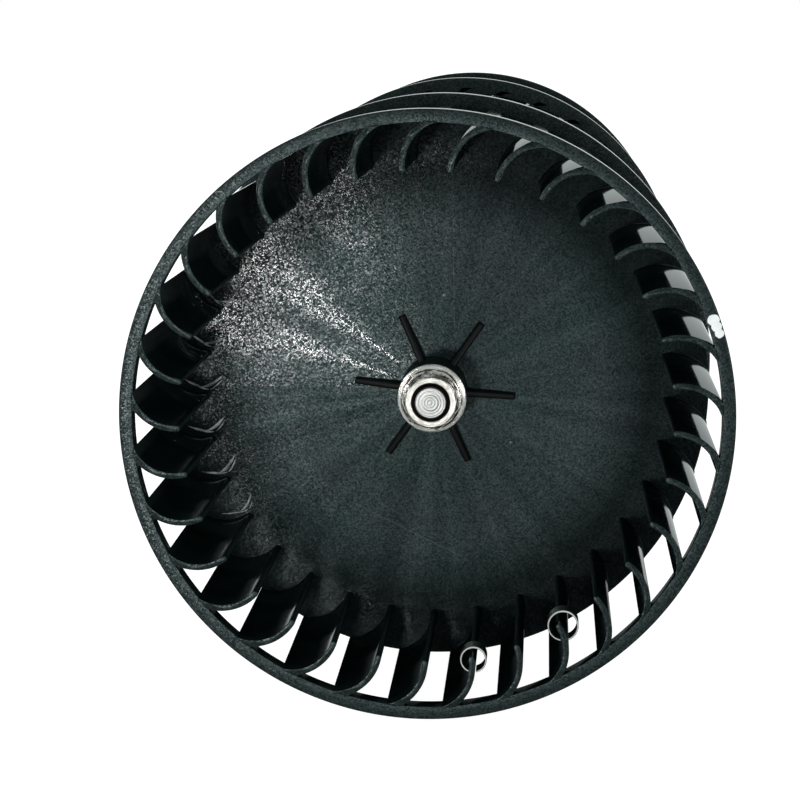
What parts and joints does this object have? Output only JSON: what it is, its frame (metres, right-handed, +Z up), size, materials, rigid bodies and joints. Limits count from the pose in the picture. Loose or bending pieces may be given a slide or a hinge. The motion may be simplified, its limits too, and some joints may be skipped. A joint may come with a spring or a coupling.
{
  "type": "blower motor wheel",
  "caption": "Double-inlet forward-curved blower wheels, one on each end of a double-ended motor's shaft.",
  "frame": {"origin": "centre of the mounting base's hole pattern, on the base's sole", "axes": "+Y along the shaft from the front wheel to the rear one, +Z up from the sole to the shaft, +X to the right of a viewer who faces the front wheel"},
  "size_m": [0.153, 0.4081, 0.153],
  "materials": {
    "black_plastic": "satin, fine grain",
    "nickel_plate": "bright nickel plate",
    "spring_steel": "bright rolled spring steel",
    "white_paint": "dab of white paint",
    "turned_steel": "turned",
    "bearing_steel": "ground",
    "core_steel": "stacked laminations",
    "cast_aluminium": "as cast",
    "enamelled_copper": "enamelled wire",
    "motor_steel": "satin black paint",
    "zinc_sheet": "zinc-plated sheet",
    "zinc_screws": "zinc plated",
    "black_rubber": "matt"
  },
  "bodies": {
    "motor": {"mount_base": "zinc_sheet", "front_bearing_outer_race": "bearing_steel", "rear_bearing_outer_race": "bearing_steel", "front_cover": "motor_steel", "rear_cover": "motor_steel", "stator_shell": "motor_steel", "stator_core": "core_steel", "windings": "enamelled_copper", "tie_screws": "zinc_screws", "tie_nuts": "zinc_screws", "front_mount_ring": "black_rubber", "rear_mount_ring": "black_rubber", "front_strap": "zinc_sheet", "rear_strap": "zinc_sheet", "strap_screws": "zinc_screws", "lead_grommet": "black_rubber", "earth_screw": "zinc_screws"},
    "rotor": {"front_wheel_outer_ring": "black_plastic", "front_wheel_outer_blades": "black_plastic", "front_wheel_plate": "black_plastic", "front_wheel_inner_blades": "black_plastic", "front_wheel_inner_ring": "black_plastic", "front_hub_bush": "turned_steel", "front_flange_nut": "nickel_plate", "front_balance_clips": "spring_steel", "paint_mark": "white_paint", "rear_wheel_outer_ring": "black_plastic", "rear_wheel_outer_blades": "black_plastic", "rear_wheel_plate": "black_plastic", "rear_wheel_inner_blades": "black_plastic", "rear_wheel_inner_ring": "black_plastic", "rear_hub_bush": "turned_steel", "rear_flange_nut": "nickel_plate", "shaft": "turned_steel", "rotor_core": "core_steel", "rotor_cage": "cast_aluminium", "front_bearing_inner_race": "bearing_steel", "rear_bearing_inner_race": "bearing_steel", "front_bearing_balls": "bearing_steel", "rear_bearing_balls": "bearing_steel"}
  },
  "joints": [
    {"name": "shaft_turn", "type": "hinge", "parent": "motor", "child": "rotor", "pos_m": [0, 0, 0.06], "axis": [0, 1, 0], "continuous": true}
  ]
}
